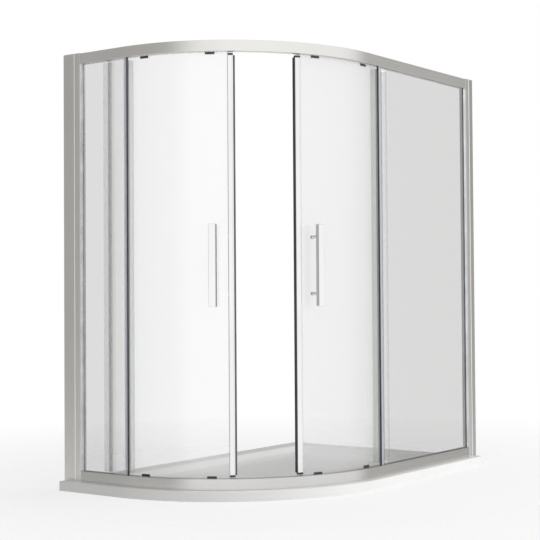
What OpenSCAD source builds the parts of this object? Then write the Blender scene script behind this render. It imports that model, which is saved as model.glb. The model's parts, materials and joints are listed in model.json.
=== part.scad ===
// Offset quadrant shower enclosure on a slim tray, in millimetres.
// The room corner is at +X +Y, the curved front faces -X -Y, and the tray rests on Z = 0.
// A station is an angle on the front curve, 0 where it leaves the short side and 90 at the long side.
// An inset is a distance measured inwards from the outer face of the rails.

/* [Tray] */
// Length of the tray along the long wall
tray_length = 1740; // [1600:10:1900]
// Width of the tray along the short wall
tray_width = 1140; // [1060:10:1250]
// Height of the tray above the floor
tray_height = 40; // [35:1:60]
// Ledge of tray left outside the rails
tray_ledge = 40; // [36:1:60]
// Width of the flat rim round the basin, measured from the tray's edge
rim_width = 100; // [90:1:140]
// Depth of the basin below the rim
basin_depth = 26; // [15:1:28]
// Run of the sloping basin side
basin_slope = 50; // [20:1:70]
// Radius of the tray's three square corners
tray_corner_radius = 12; // [4:1:25]
// Diameter of the waste hole
waste_hole_diameter = 90; // [70:1:110]
// Distance of the waste hole from the curved rail
waste_set_back = 250; // [180:5:350]
// Diameter of the lift-off waste cover
waste_cover_diameter = 104; // [98:1:112]

/* [Frame] */
// Outer radius of the curved rails
corner_radius = 750; // [690:10:800]
// Height of the posts above the tray
post_height = 1850; // [1700:10:2000]
// Height of a rail's section
rail_height = 46; // [40:1:60]
// Depth of a rail's section
rail_depth = 34; // [33:0.5:40]
// Wall of a rail's section
rail_skin = 2; // [1.6:0.1:2.6]
// Thickness of the track that the wheels run on
track_thickness = 2.5; // [2:0.1:4]
// Height of the lip that keeps the wheels on the track
track_lip = 3; // [2:0.1:4]
// Depth of the groove that takes the fixed glass
groove_depth = 12; // [8:1:16]
// Depth of the wall channel on the short side
left_channel_depth = 66; // [50:1:90]
// Depth of the wall channel on the long side
right_channel_depth = 36; // [30:1:60]
// Wall of the wall channels
channel_skin = 1.6; // [1.2:0.1:2.2]
// Wall of the panel profiles
profile_skin = 1.8; // [1.2:0.1:2]
// Length of panel profile that stands out of its channel
panel_reveal = 30; // [26:1:45]
// Length of panel profile inside its channel
profile_lap = 24; // [18:1:28]
// Thickness of the caps on the posts
post_cap_thickness = 2; // [1:0.5:4]
// Diameter of the screw holes in the wall channels
wall_hole_diameter = 5; // [4:0.5:6]
// Height of the lowest and distance down to the highest wall screw hole
wall_hole_end = 160; // [100:10:300]

/* [Fixed panes] */
// Thickness of the fixed glass
fixed_glass_thickness = 6; // [4:0.5:8]
// Inset of the fixed glass
fixed_glass_inset = 8; // [7:0.5:8.5]
// How far the short side's pane runs past the start of the curve
left_pane_reach = 14; // [10:1:30]
// How far the long side's pane stops short of the curve
right_pane_gap = 95; // [20:1:110]
// Length of the seal's legs on the free edge of a fixed pane
pane_seal_leg = 15; // [10:1:20]
// Reach of the seal's fin past the free edge
pane_seal_fin = 12; // [10:1:16]
// Wall of the flexible seals
seal_skin = 1.2; // [0.8:0.1:1.8]
// Length of gasket that shows beyond a panel profile
gasket_reveal = 10; // [4:1:16]

/* [Doors] */
// Station at which the two doors meet when shut
meeting_angle = 50; // [48:0.5:50]
// Angle that each door spans
door_arc = 50; // [49.5:0.5:51]
// Angle by which the short side's door stands open
left_door_open = 11; // [2:0.5:14]
// Angle by which the long side's door stands open
right_door_open = 9; // [2:0.5:13]
// Thickness of the door glass
door_glass_thickness = 6; // [5:0.5:8]
// Length of door glass that laps behind each rail
door_glass_lap = 26; // [20:1:32]
// Width of the stile on a door's leading edge
stile_width = 25; // [20:1:34]
// Depth of the stile
stile_depth = 18; // [14:1:22]
// Depth of glass held in the stile
stile_grip = 12; // [8:1:14]
// Width of the magnetic seal on the stile
magnet_width = 7; // [5:0.5:10]
// Height of the caps on the ends of the stile
stile_cap_height = 9; // [6:1:14]
// Length of the legs of the seal on a door's trailing edge
trail_seal_leg = 18; // [14:1:22]

/* [Rollers] */
// Diameter of the wheels
wheel_diameter = 22; // [18:1:26]
// Width of the wheels
wheel_width = 5; // [4:0.5:5.5]
// Diameter of the wheels' axles
axle_diameter = 5; // [4:0.5:6]
// Distance between the two wheels of a carrier
wheel_spacing = 40; // [34:1:44]
// Angle from a door's leading edge to its first carriers
lead_carrier_angle = 8.4; // [8:0.1:9.5]
// Angle from a door's leading edge to its last carriers
trail_carrier_angle = 32.2; // [26:0.1:32.5]
// Length of a carrier along the rail
carrier_length = 66; // [62:1:72]
// Thickness of a carrier
carrier_thickness = 3.5; // [3:0.5:5]
// Length of the tab by which a carrier shows past the rail
carrier_tab_length = 40; // [30:1:60]
// Drop of the tab past the rail
carrier_drop = 7; // [5:1:10]
// Height of a carrier behind the rail
carrier_rise = 24; // [22:1:25]

/* [Handles] */
// Length of the handle bars
handle_length = 340; // [280:5:450]
// Width of the handle bars
handle_width = 33; // [18:1:38]
// Thickness of the handle bars
handle_thickness = 16; // [8:1:18]
// Distance between the posts of a handle
handle_pitch = 238; // [180:2:260]
// Height of the middle of the handles above the tray
handle_height = 920; // [800:5:1100]
// Length of the posts behind a handle bar
handle_post_length = 50; // [34:1:54]
// Diameter of the posts behind a handle bar
handle_post_diameter = 14; // [12:1:18]
// Distance from a door's leading edge to its handle
handle_set_back = 89; // [60:1:110]

/* [Hidden] */
$fn = 96;

// Clearances
// Radial play of a wheel on its axle
running_fit = 0.05;
// Play between profiles that slide into one another
slide_fit = 0.4;
// Gap left between seated pieces
seat_gap = 0.3;
// Gap between the doors' carriers and the rails
face_gap = 1;
// Gap each side of the fixed glass in its groove
glass_play = 1;

// Heights
rim_z = tray_height;
low_rail_top = rim_z + rail_height;
high_rail_top = rim_z + post_height;
high_rail_bottom = high_rail_top - rail_height;
basin_z = tray_height - basin_depth;
handle_z = rim_z + handle_height;

// Plan
arc_x = -tray_length / 2 + tray_ledge + corner_radius;
arc_y = -tray_width / 2 + tray_ledge + corner_radius;
left_run = tray_width - tray_ledge - corner_radius;
right_run = tray_length - tray_ledge - corner_radius;
left_post = left_channel_depth + panel_reveal;
right_post = right_channel_depth + panel_reveal;

// Rail section, seen with its track downwards
groove_inset = fixed_glass_inset - glass_play;
groove_width = fixed_glass_thickness + 2 * glass_play;
groove_skin = rail_skin;
track_inset = groove_inset + groove_width + groove_skin;
track_width = rail_depth - rail_skin - track_inset;
rail_return = 6;
rail_screw_x = -(track_inset + track_width / 2);

// Wheels and carriers
wheel_radius = wheel_diameter / 2;
wheel_clearance = 2;
wheel_inset = track_inset + wheel_clearance;
track_radius = corner_radius - wheel_inset - wheel_width / 2;
axle_z = track_thickness + seat_gap + wheel_radius;
wheel_step = (wheel_spacing / 2) / track_radius * 180 / PI;
carrier_inset = rail_depth + face_gap;
carrier_radius = corner_radius - carrier_inset;
carrier_half_angle = (carrier_length / 2) / carrier_radius * 180 / PI;
tab_half_angle = (carrier_tab_length / 2) / carrier_radius * 180 / PI;
carrier_angles = [lead_carrier_angle, trail_carrier_angle];
axle_head = 0.8;
axle_shoulder = 1.5;
axle_shoulder_diameter = axle_diameter + 2 * axle_shoulder;
bolt_diameter = 6;
bolt_head_diameter = 10;
bolt_head_height = 2.5;
bolt_cap_diameter = 18;
bolt_cap_height = 5;
bolt_glass_hole = bolt_diameter + 2;
handle_bolt_length = 14;

// Travel of the last wheels past the end of the curve, which sets the stops
past_curve = 6.8;
stop_gap = 2;
stop_length = 14;
stop_height = 20;

// Doors
door_inset = carrier_inset + carrier_thickness;
door_radius = corner_radius - door_inset;
door_mid_radius = door_radius - door_glass_thickness / 2;
left_lead = meeting_angle - left_door_open;
right_lead = meeting_angle + right_door_open;
meeting_gap = 0.3;
glass_start_angle = (magnet_width + stile_width - stile_grip) / door_mid_radius * 180 / PI;
stile_gap = 3;
stile_low_z = low_rail_top + stile_gap + stile_cap_height;
stile_high_z = high_rail_bottom - stile_gap - stile_cap_height;
magnet_depth = 12;
magnet_key = 3;
trail_seal_angle = trail_seal_leg / door_radius * 180 / PI;
fin_carrier_gap = 4;
fin_end_gap = carrier_drop + fin_carrier_gap;
handle_angle = handle_set_back / door_radius * 180 / PI;

// Fixed panes
pocket_depth = 12;
gasket_skin = 2;
pocket_width = fixed_glass_thickness + 2 * gasket_skin;
left_pane_edge = left_run + left_pane_reach;
right_pane_edge = right_run - right_pane_gap;
pane_low_z = low_rail_top - groove_depth + seat_gap;
pane_high_z = high_rail_bottom + groove_depth - seat_gap;

// Wall channels
wall_hole_step = (post_height - 2 * wall_hole_end) / 3;
wall_hole_heights = [for (i = [0 : 3]) wall_hole_end + i * wall_hole_step];
profile_screw_heights = [wall_hole_end / 2, post_height / 2, post_height - wall_hole_end / 2];
profile_screw_diameter = 4;
profile_screw_head = 8;
profile_screw_head_height = 2.4;
profile_screw_length = 10;
screw_cap_diameter = 12;
screw_cap_height = 5;
rail_screw_diameter = 4;
rail_screw_head = 7;
rail_screw_head_height = 2.4;
rail_block_length = 18;

// Waste
waste_flange_lip = 12;
waste_flange_diameter = waste_hole_diameter + 2 * waste_flange_lip;
waste_flange_thickness = 3;
waste_recess = 5;
waste_spigot_wall = 4;
waste_spigot_low_z = 1;
waste_foot_diameter = 10;
waste_foot_height = 5;
waste_cover_edge = 1.5;
waste_cover_bevel = 3;
waste_cover_crown = 5;

// Colours
satin_aluminium = [0.68, 0.67, 0.65];
polished_chrome = [0.86, 0.87, 0.88];
clear_glass = [0.85, 0.89, 0.89, 0.35];
white_resin = [0.94, 0.94, 0.94];
clear_seal = [0.78, 0.80, 0.80];
dark_rubber = [0.16, 0.16, 0.17];
dark_nylon = [0.20, 0.20, 0.21];
screw_steel = [0.72, 0.72, 0.72];

// Places on the plan

// X points out of the curve and Y along it towards the long side
module at_station(angle) {
  translate([arc_x, arc_y, 0]) rotate([0, 0, 180 + angle]) children();
}

// X points outwards from the rail's outer face and Y away from the wall
module from_left_wall() {
  at_station(0) translate([corner_radius, -left_run, 0]) children();
}

module from_right_wall() {
  at_station(90) translate([corner_radius, right_run, 0]) mirror([0, 1, 0]) children();
}

// X points out of the curve and Y from the leading edge back into the door
module left_door() {
  at_station(left_lead) mirror([0, 1, 0]) children();
}

module right_door() {
  at_station(right_lead) children();
}

// Z points from the opening into the rail
module into_top_rail() {
  translate([0, 0, high_rail_bottom]) children();
}

module into_bottom_rail() {
  translate([0, 0, low_rail_top]) mirror([0, 0, 1]) children();
}

module into_both_rails() {
  into_top_rail() children();
  into_bottom_rail() children();
}

// Shapes used more than once

// Upright curved plate about the arc's axis, its outer face at radius
module curved_plate(radius, thickness, start, end, low, high) {
  rotate([0, 0, start])
    rotate_extrude(angle = end - start, $fn = 360)
      translate([radius - thickness, low]) square([thickness, high - low]);
}

// Pin along X from x0 to x1
module pin_x(x0, x1, diameter) {
  translate([x0, 0, 0]) rotate([0, 90, 0]) cylinder(h = x1 - x0, d = diameter);
}

// Pin along Y from y0 to y1
module pin_y(y0, y1, diameter) {
  translate([0, y0, 0]) rotate([-90, 0, 0]) cylinder(h = y1 - y0, d = diameter);
}

// Tray

module tray_outline(margin) {
  low_x = -tray_length / 2 + margin;
  low_y = -tray_width / 2 + margin;
  high_x = tray_length / 2 - margin;
  high_y = tray_width / 2 - margin;
  curve = corner_radius + tray_ledge - margin;
  corner = tray_corner_radius;
  translate([arc_x, low_y]) square([high_x - corner - arc_x, curve + 1]);
  translate([low_x, arc_y]) square([curve + 1, high_y - corner - arc_y]);
  translate([arc_x, low_y + corner]) square([high_x - arc_x, high_y - low_y - 2 * corner]);
  translate([low_x + corner, arc_y]) square([high_x - low_x - 2 * corner, high_y - arc_y]);
  intersection() {
    translate([arc_x, arc_y]) circle(r = curve, $fn = 360);
    translate([low_x, low_y]) square([curve, curve]);
  }
  for (place = [[low_x, high_y, 1, -1], [high_x, high_y, -1, -1], [high_x, low_y, -1, 1]])
    translate([place[0] + place[2] * corner, place[1] + place[3] * corner]) circle(r = corner);
}

module waste_centre() {
  at_station(45) translate([corner_radius - waste_set_back, 0, 0]) children();
}

module basin_space() {
  hull() {
    translate([0, 0, tray_height]) linear_extrude(1) tray_outline(rim_width, $fn = 48);
    translate([0, 0, basin_z]) linear_extrude(1) tray_outline(rim_width + basin_slope, $fn = 48);
  }
}

module shower_tray() {
  color(white_resin)
    difference() {
      linear_extrude(tray_height) tray_outline(0);
      basin_space();
      waste_centre() {
        translate([0, 0, -1]) cylinder(h = tray_height, d = waste_hole_diameter);
        translate([0, 0, basin_z - waste_recess])
          cylinder(h = tray_height, d = waste_flange_diameter + 2 * seat_gap);
      }
    }
}

module waste_flange() {
  spigot = waste_hole_diameter - 2 * seat_gap;
  seat_z = basin_z - waste_recess;
  color(polished_chrome)
    waste_centre()
      difference() {
        union() {
          translate([0, 0, seat_z]) cylinder(h = waste_flange_thickness, d = waste_flange_diameter);
          translate([0, 0, waste_spigot_low_z]) cylinder(h = seat_z, d = spigot);
        }
        cylinder(h = tray_height, d = spigot - 2 * waste_spigot_wall);
      }
}

module waste_cover() {
  foot_ring = (waste_hole_diameter + waste_flange_diameter) / 4;
  low_z = basin_z - waste_recess + waste_flange_thickness;
  radius = waste_cover_diameter / 2;
  color(polished_chrome)
    waste_centre() {
      translate([0, 0, low_z + waste_foot_height])
        rotate_extrude()
          polygon([[0, 0], [radius, 0], [radius, waste_cover_edge],
                   [radius - waste_cover_bevel, waste_cover_edge * 2], [0, waste_cover_crown]]);
      for (turn = [0 : 120 : 240])
        rotate([0, 0, turn]) translate([foot_ring - waste_foot_diameter / 2, 0, low_z])
          cylinder(h = waste_foot_height + 1, d = waste_foot_diameter);
    }
}

// Posts at the walls

module channel_section(depth) {
  inner = slide_fit;
  outer = slide_fit + channel_skin;
  difference() {
    translate([-rail_depth - outer, 0]) square([rail_depth + 2 * outer, depth]);
    translate([-rail_depth - inner, channel_skin]) square([rail_depth + 2 * inner, depth]);
  }
}

module wall_channel(depth) {
  color(satin_aluminium)
    difference() {
      translate([0, 0, rim_z]) linear_extrude(post_height) channel_section(depth);
      for (height = wall_hole_heights)
        translate([-rail_depth / 2, 0, rim_z + height]) pin_y(-1, channel_skin + 1, wall_hole_diameter);
      for (height = profile_screw_heights)
        translate([0, depth - profile_lap / 2, rim_z + height])
          pin_x(-rail_depth - slide_fit - channel_skin - 1, -rail_depth / 2,
                profile_screw_diameter + 2 * running_fit);
    }
}

module panel_section(start, end) {
  skin = profile_skin;
  pocket_x = -fixed_glass_inset - fixed_glass_thickness - gasket_skin;
  difference() {
    translate([-rail_depth, start]) square([rail_depth, end - start]);
    translate([-rail_depth + skin, start + skin])
      square([rail_depth - 2 * skin, end - start - pocket_depth - 2 * skin]);
    translate([pocket_x, end - pocket_depth]) square([pocket_width, pocket_depth + 1]);
    translate([-rail_depth + skin, end - pocket_depth - skin - 1])
      square([pocket_x + rail_depth - 2 * skin, pocket_depth + 1]);
  }
}

module panel_profile(channel_depth) {
  start = channel_depth - profile_lap;
  end = channel_depth + panel_reveal;
  color(satin_aluminium)
    difference() {
      translate([0, 0, rim_z]) linear_extrude(post_height) panel_section(start, end);
      for (height = profile_screw_heights)
        translate([0, channel_depth - profile_lap / 2, rim_z + height])
          pin_x(-rail_depth - 1, -rail_depth / 2, profile_screw_diameter + 2 * running_fit);
      into_both_rails()
        translate([rail_screw_x, 0, rail_height / 2])
          pin_y(end - profile_skin - 2, end + 1, rail_screw_diameter + 2 * running_fit);
    }
}

module post_cap(depth) {
  outer = slide_fit + channel_skin;
  color(satin_aluminium)
    translate([-rail_depth - outer, 0, high_rail_top])
      cube([rail_depth + 2 * outer, depth + panel_reveal, post_cap_thickness]);
}

module post_caps() {
  from_left_wall() post_cap(left_channel_depth);
  from_right_wall() post_cap(right_channel_depth);
}

module profile_screw_row(depth) {
  face_x = -rail_depth - slide_fit - channel_skin;
  for (height = profile_screw_heights)
    translate([0, depth - profile_lap / 2, rim_z + height]) {
      pin_x(face_x - profile_screw_head_height, face_x, profile_screw_head);
      pin_x(face_x - 0.5, face_x + profile_screw_length, profile_screw_diameter);
    }
}

module profile_screws() {
  color(screw_steel) {
    from_left_wall() profile_screw_row(left_channel_depth);
    from_right_wall() profile_screw_row(right_channel_depth);
  }
}

module screw_cap_row(depth) {
  face_x = -rail_depth - slide_fit - channel_skin;
  for (height = profile_screw_heights)
    translate([0, depth - profile_lap / 2, rim_z + height])
      difference() {
        pin_x(face_x - screw_cap_height, face_x, screw_cap_diameter);
        pin_x(face_x - profile_screw_head_height - seat_gap, face_x + 1,
              profile_screw_head + 2 * seat_gap);
      }
}

module screw_caps() {
  color(satin_aluminium) {
    from_left_wall() screw_cap_row(left_channel_depth);
    from_right_wall() screw_cap_row(right_channel_depth);
  }
}

// Rails

module rail_section() {
  inner_x = -rail_depth + rail_skin;
  groove_x = -groove_inset - groove_width;
  difference() {
    translate([-rail_depth, 0]) square([rail_depth, rail_height]);
    translate([groove_x, groove_depth + groove_skin])
      square([-rail_skin - groove_x, rail_height - rail_skin - groove_depth - groove_skin]);
    translate([-groove_inset + groove_skin, rail_skin])
      square([groove_inset - groove_skin - rail_skin, groove_depth + groove_skin]);
    translate([groove_x, -1]) square([groove_width, groove_depth + 1]);
    translate([inner_x, track_thickness])
      square([track_width, rail_height - rail_skin - track_thickness]);
    translate([-rail_depth - 1, track_thickness + track_lip])
      square([rail_skin + 2, rail_height - rail_return - track_thickness - track_lip]);
  }
}

module rail() {
  left_straight = left_run - left_post;
  right_straight = right_run - right_post;
  color(satin_aluminium)
    union() {
      at_station(0) rotate_extrude(angle = 90, $fn = 360) translate([corner_radius, 0]) rail_section();
      at_station(0) translate([corner_radius, 0, 0])
        rotate([90, 0, 0]) linear_extrude(left_straight) rail_section();
      at_station(90) translate([corner_radius, right_straight, 0])
        rotate([90, 0, 0]) linear_extrude(right_straight) rail_section();
    }
}

module rail_end_block() {
  width = track_width - 2 * seat_gap;
  height = rail_height - rail_skin - track_thickness - 2 * seat_gap;
  difference() {
    translate([-track_inset - seat_gap - width, 0, track_thickness + seat_gap])
      cube([width, rail_block_length, height]);
    translate([rail_screw_x, 0, rail_height / 2])
      pin_y(-1, rail_block_length + 1, rail_screw_diameter + 2 * running_fit);
  }
}

module rail_end_screw() {
  translate([rail_screw_x, 0, rail_height / 2]) {
    pin_y(-profile_skin - rail_screw_head_height, -profile_skin, rail_screw_head);
    pin_y(-profile_skin - 1, rail_block_length - 2, rail_screw_diameter);
  }
}

module both_rail_ends() {
  into_both_rails() {
    from_left_wall() translate([0, left_post, 0]) children();
    from_right_wall() translate([0, right_post, 0]) children();
  }
}

module door_stop(distance) {
  width = track_width - 2 * seat_gap;
  translate([-track_inset - seat_gap - width, distance - stop_length, track_thickness])
    cube([width, stop_length, stop_height]);
}

module door_stop_pair() {
  reach = track_radius * sin(past_curve) + wheel_radius + stop_gap;
  from_left_wall() door_stop(left_run - reach);
  from_right_wall() door_stop(right_run - reach);
}

// Fixed panes, measured from the wall

module fixed_pane(post, edge) {
  start = post - pocket_depth + gasket_skin;
  color(clear_glass)
    translate([-fixed_glass_inset - fixed_glass_thickness, start, pane_low_z])
      cube([fixed_glass_thickness, edge - start, pane_high_z - pane_low_z]);
}

module glazing_gasket(post) {
  low = low_rail_top + seat_gap;
  high = high_rail_bottom - seat_gap;
  width = fixed_glass_thickness + 2 * gasket_skin;
  color(dark_rubber)
    translate([-fixed_glass_inset - fixed_glass_thickness - gasket_skin, post - pocket_depth, low])
      difference() {
        cube([width, pocket_depth + gasket_reveal, high - low]);
        translate([gasket_skin, gasket_skin, -1])
          cube([fixed_glass_thickness, pocket_depth + gasket_reveal, high - low + 2]);
      }
}

// The fin reaches from the pane's edge to the face of the door glass.
// side is the distance of the fin's tip from the start of the curve.
module pane_seal(edge, side) {
  outer_x = -fixed_glass_inset + seal_skin;
  inner_x = -fixed_glass_inset - fixed_glass_thickness - seal_skin;
  tip_x = sqrt(pow(door_radius, 2) - pow(side, 2)) - corner_radius + 2 * seat_gap;
  root_y = edge + seat_gap;
  color(clear_seal) {
    translate([0, 0, low_rail_top + seat_gap])
      linear_extrude(high_rail_bottom - low_rail_top - 2 * seat_gap)
        difference() {
          translate([inner_x, edge - pane_seal_leg])
            square([outer_x - inner_x, pane_seal_leg + seat_gap + 2 * seal_skin]);
          translate([inner_x + seal_skin, edge - pane_seal_leg - 1])
            square([fixed_glass_thickness, pane_seal_leg + 1 + seat_gap]);
        }
    translate([0, 0, low_rail_top + fin_end_gap])
      linear_extrude(high_rail_bottom - low_rail_top - 2 * fin_end_gap)
        polygon([[inner_x + 2 * seal_skin, root_y], [inner_x + 2 * seal_skin, root_y + 2 * seal_skin],
                 [tip_x, edge + pane_seal_fin], [tip_x, edge + pane_seal_fin - seal_skin],
                 [inner_x, root_y]]);
  }
}

// Door pieces, each drawn once in the door's own place

module door_pane() {
  low = low_rail_top - door_glass_lap;
  high = high_rail_bottom + door_glass_lap;
  color(clear_glass)
    difference() {
      curved_plate(door_radius, door_glass_thickness, glass_start_angle, door_arc, low, high);
      into_both_rails()
        for (angle = carrier_angles)
          rotate([0, 0, angle]) translate([0, 0, axle_z])
            pin_x(door_radius - door_glass_thickness - 2, door_radius + 2, bolt_glass_hole);
      for (side = [-1, 1])
        rotate([0, 0, handle_angle]) translate([0, 0, handle_z + side * handle_pitch / 2])
          pin_x(door_radius - door_glass_thickness - 2, door_radius + 2, bolt_glass_hole);
    }
}

module door_stile() {
  grip_start = glass_start_angle - seat_gap / door_mid_radius * 180 / PI;
  color(polished_chrome)
    difference() {
      translate([door_mid_radius - stile_depth / 2, magnet_width, stile_low_z])
        cube([stile_depth, stile_width, stile_high_z - stile_low_z]);
      curved_plate(door_radius + seat_gap, door_glass_thickness + 2 * seat_gap, grip_start,
                   door_arc, low_rail_top, high_rail_bottom);
      translate([door_mid_radius - magnet_depth / 4 - seat_gap, magnet_width - 1, low_rail_top])
        cube([magnet_depth / 2 + 2 * seat_gap, magnet_key + 1 + seat_gap,
              high_rail_bottom - low_rail_top]);
    }
}

// Each cap is slotted for the glass that runs on behind the rail
module stile_cap_pair() {
  color(dark_nylon)
    into_both_rails()
      difference() {
        translate([door_mid_radius - stile_depth / 2 + 1, magnet_width + 1,
                   -stile_gap - stile_cap_height])
          cube([stile_depth - 2, stile_width - 2, stile_cap_height]);
        curved_plate(door_radius + seat_gap, door_glass_thickness + 2 * seat_gap,
                     glass_start_angle - 0.1, door_arc, -stile_gap - stile_cap_height - 1, 1);
      }
}

module magnetic_seal() {
  color(dark_rubber)
    translate([door_mid_radius, 0, stile_low_z]) {
      translate([-magnet_depth / 2, meeting_gap / 2, 0])
        cube([magnet_depth, magnet_width - meeting_gap / 2, stile_high_z - stile_low_z]);
      translate([-magnet_depth / 4, magnet_width - 1, 0])
        cube([magnet_depth / 2, magnet_key + 1, stile_high_z - stile_low_z]);
    }
}

module trailing_seal() {
  low = low_rail_top + seat_gap;
  high = high_rail_bottom - seat_gap;
  edge_gap = seat_gap / door_radius * 180 / PI;
  skin_angle = 2 * seal_skin / door_radius * 180 / PI;
  fin_radius = corner_radius - fixed_glass_inset - fixed_glass_thickness - seal_skin - 2 * seat_gap;
  fin_root = door_radius + (seat_gap + seal_skin) / 2;
  end = door_arc + edge_gap + skin_angle;
  color(clear_seal)
    difference() {
      union() {
        curved_plate(door_radius + seal_skin, door_glass_thickness + 2 * seal_skin,
                     door_arc - trail_seal_angle, end, low, high);
        curved_plate(fin_radius, fin_radius - fin_root, door_arc + edge_gap, end, low, high);
      }
      curved_plate(door_radius + seat_gap, door_glass_thickness + 2 * seat_gap,
                   door_arc - trail_seal_angle - 1, door_arc + edge_gap, low - 1, high + 1);
    }
}

// Handles

module at_handle() {
  rotate([0, 0, handle_angle]) translate([0, 0, handle_z]) children();
}

module handle_bar() {
  back_x = door_radius + handle_post_length;
  bevel = 2;
  color(polished_chrome)
    at_handle()
      translate([back_x, 0, -handle_length / 2])
        linear_extrude(handle_length)
          polygon([[0, -handle_width / 2], [handle_thickness - bevel, -handle_width / 2],
                   [handle_thickness, -handle_width / 2 + bevel],
                   [handle_thickness, handle_width / 2 - bevel],
                   [handle_thickness - bevel, handle_width / 2], [0, handle_width / 2]]);
}

module handle_post_pair() {
  color(polished_chrome)
    at_handle()
      for (side = [-1, 1])
        translate([0, 0, side * handle_pitch / 2])
          difference() {
            pin_x(door_radius + seat_gap, door_radius + handle_post_length, handle_post_diameter);
            pin_x(door_radius, door_radius + handle_bolt_length + 2,
                  bolt_diameter + 2 * running_fit);
          }
}

module handle_fixing_pair() {
  inner = door_radius - door_glass_thickness;
  color(polished_chrome)
    at_handle()
      for (side = [-1, 1])
        translate([0, 0, side * handle_pitch / 2]) {
          pin_x(inner - bolt_cap_height, inner - seat_gap, bolt_cap_diameter);
          pin_x(inner - 1, door_radius + handle_bolt_length, bolt_diameter);
        }
}

// Carriers, wheels and their pins

module at_carriers() {
  into_both_rails()
    for (angle = carrier_angles)
      rotate([0, 0, angle]) children();
}

module at_axles() {
  at_carriers()
    for (side = [-1, 1])
      rotate([0, 0, side * wheel_step]) translate([0, 0, axle_z]) children();
}

module carrier_set() {
  color(dark_nylon)
    at_carriers()
      difference() {
        curved_plate(carrier_radius, carrier_thickness - seat_gap, -carrier_half_angle,
                     carrier_half_angle, -carrier_drop, carrier_rise);
        for (start = [-carrier_half_angle - 1, tab_half_angle])
          curved_plate(carrier_radius + 1, carrier_thickness + 2, start,
                       start + carrier_half_angle + 1 - tab_half_angle, -carrier_drop - 1, face_gap);
        for (side = [-1, 1])
          rotate([0, 0, side * wheel_step]) translate([0, 0, axle_z])
            pin_x(door_radius - 1, carrier_radius + 1, axle_diameter + 2 * running_fit);
        translate([0, 0, axle_z])
          pin_x(door_radius - 1, carrier_radius + 1, bolt_diameter + 2 * running_fit);
      }
}

module wheel_axle_set() {
  outer = corner_radius - wheel_inset;
  inner = outer - wheel_width;
  color(screw_steel)
    at_axles() {
      pin_x(door_radius + seat_gap, outer + seat_gap, axle_diameter);
      pin_x(outer + seat_gap, outer + seat_gap + axle_head, axle_shoulder_diameter);
      pin_x(carrier_radius, inner - seat_gap, axle_shoulder_diameter);
    }
}

module carrier_bolt_set() {
  inner = door_radius - door_glass_thickness;
  color(polished_chrome)
    at_carriers()
      translate([0, 0, axle_z]) {
        pin_x(carrier_radius, carrier_radius + bolt_head_height, bolt_head_diameter);
        pin_x(inner - 1, carrier_radius + 1, bolt_diameter);
        pin_x(inner - bolt_cap_height, inner - seat_gap, bolt_cap_diameter);
      }
}

// index counts the wheels from the leading edge
module wheel(index) {
  angle = carrier_angles[floor((index - 1) / 2)] + (index % 2 == 1 ? -1 : 1) * wheel_step;
  bore = axle_diameter / 2 + running_fit;
  edge = 0.8;
  color(dark_nylon)
    rotate([0, 0, angle]) translate([corner_radius - wheel_inset - wheel_width, 0, axle_z])
      rotate([0, 90, 0])
        rotate_extrude()
          polygon([[bore, 0], [wheel_radius - edge, 0], [wheel_radius, edge],
                   [wheel_radius, wheel_width - edge], [wheel_radius - edge, wheel_width],
                   [bore, wheel_width]]);
}

shower_tray();
waste_flange();
waste_cover();
from_left_wall() wall_channel(left_channel_depth);  // wall_channel_left
from_right_wall() wall_channel(right_channel_depth);  // wall_channel_right
from_left_wall() panel_profile(left_channel_depth);  // panel_profile_left
from_right_wall() panel_profile(right_channel_depth);  // panel_profile_right
post_caps();
profile_screws();
screw_caps();
into_top_rail() rail();  // top_rail
into_bottom_rail() rail();  // bottom_rail
color(dark_nylon) both_rail_ends() rail_end_block();  // rail_end_blocks
color(screw_steel) both_rail_ends() rail_end_screw();  // rail_end_screws
color(dark_rubber) into_both_rails() door_stop_pair();  // door_stops
from_left_wall() fixed_pane(left_post, left_pane_edge);  // fixed_glass_left
from_right_wall() fixed_pane(right_post, right_pane_edge);  // fixed_glass_right
from_left_wall() glazing_gasket(left_post);  // glazing_gasket_left
from_right_wall() glazing_gasket(right_post);  // glazing_gasket_right
from_left_wall() pane_seal(left_pane_edge, left_pane_reach + pane_seal_fin);  // pane_seal_left
from_right_wall() pane_seal(right_pane_edge, right_pane_gap - pane_seal_fin);  // pane_seal_right
left_door() door_pane();  // door_glass_left
right_door() door_pane();  // door_glass_right
left_door() door_stile();  // door_stile_left
right_door() door_stile();  // door_stile_right
left_door() stile_cap_pair();  // stile_caps_left
right_door() stile_cap_pair();  // stile_caps_right
left_door() magnetic_seal();  // magnetic_seal_left
right_door() magnetic_seal();  // magnetic_seal_right
left_door() trailing_seal();  // trailing_seal_left
right_door() trailing_seal();  // trailing_seal_right
left_door() handle_bar();  // handle_bar_left
right_door() handle_bar();  // handle_bar_right
left_door() handle_post_pair();  // handle_posts_left
right_door() handle_post_pair();  // handle_posts_right
left_door() handle_fixing_pair();  // handle_fixings_left
right_door() handle_fixing_pair();  // handle_fixings_right
left_door() carrier_set();  // carriers_left
right_door() carrier_set();  // carriers_right
left_door() wheel_axle_set();  // wheel_axles_left
right_door() wheel_axle_set();  // wheel_axles_right
left_door() carrier_bolt_set();  // carrier_bolts_left
right_door() carrier_bolt_set();  // carrier_bolts_right
for (index = [1 : 4]) {
  left_door() into_top_rail() wheel(index);
  left_door() into_bottom_rail() wheel(index);
  right_door() into_top_rail() wheel(index);
  right_door() into_bottom_rail() wheel(index);
}
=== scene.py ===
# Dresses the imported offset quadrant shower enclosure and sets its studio.
# Lengths are in metres, in the part's own frame: the room's corner is at +X +Y, the floor at Z = 0.
import json
import math

import bmesh
import bpy
from bpy.props import FloatProperty, FloatVectorProperty, PointerProperty
from mathutils import Euler, Matrix, Quaternion, Vector


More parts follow.
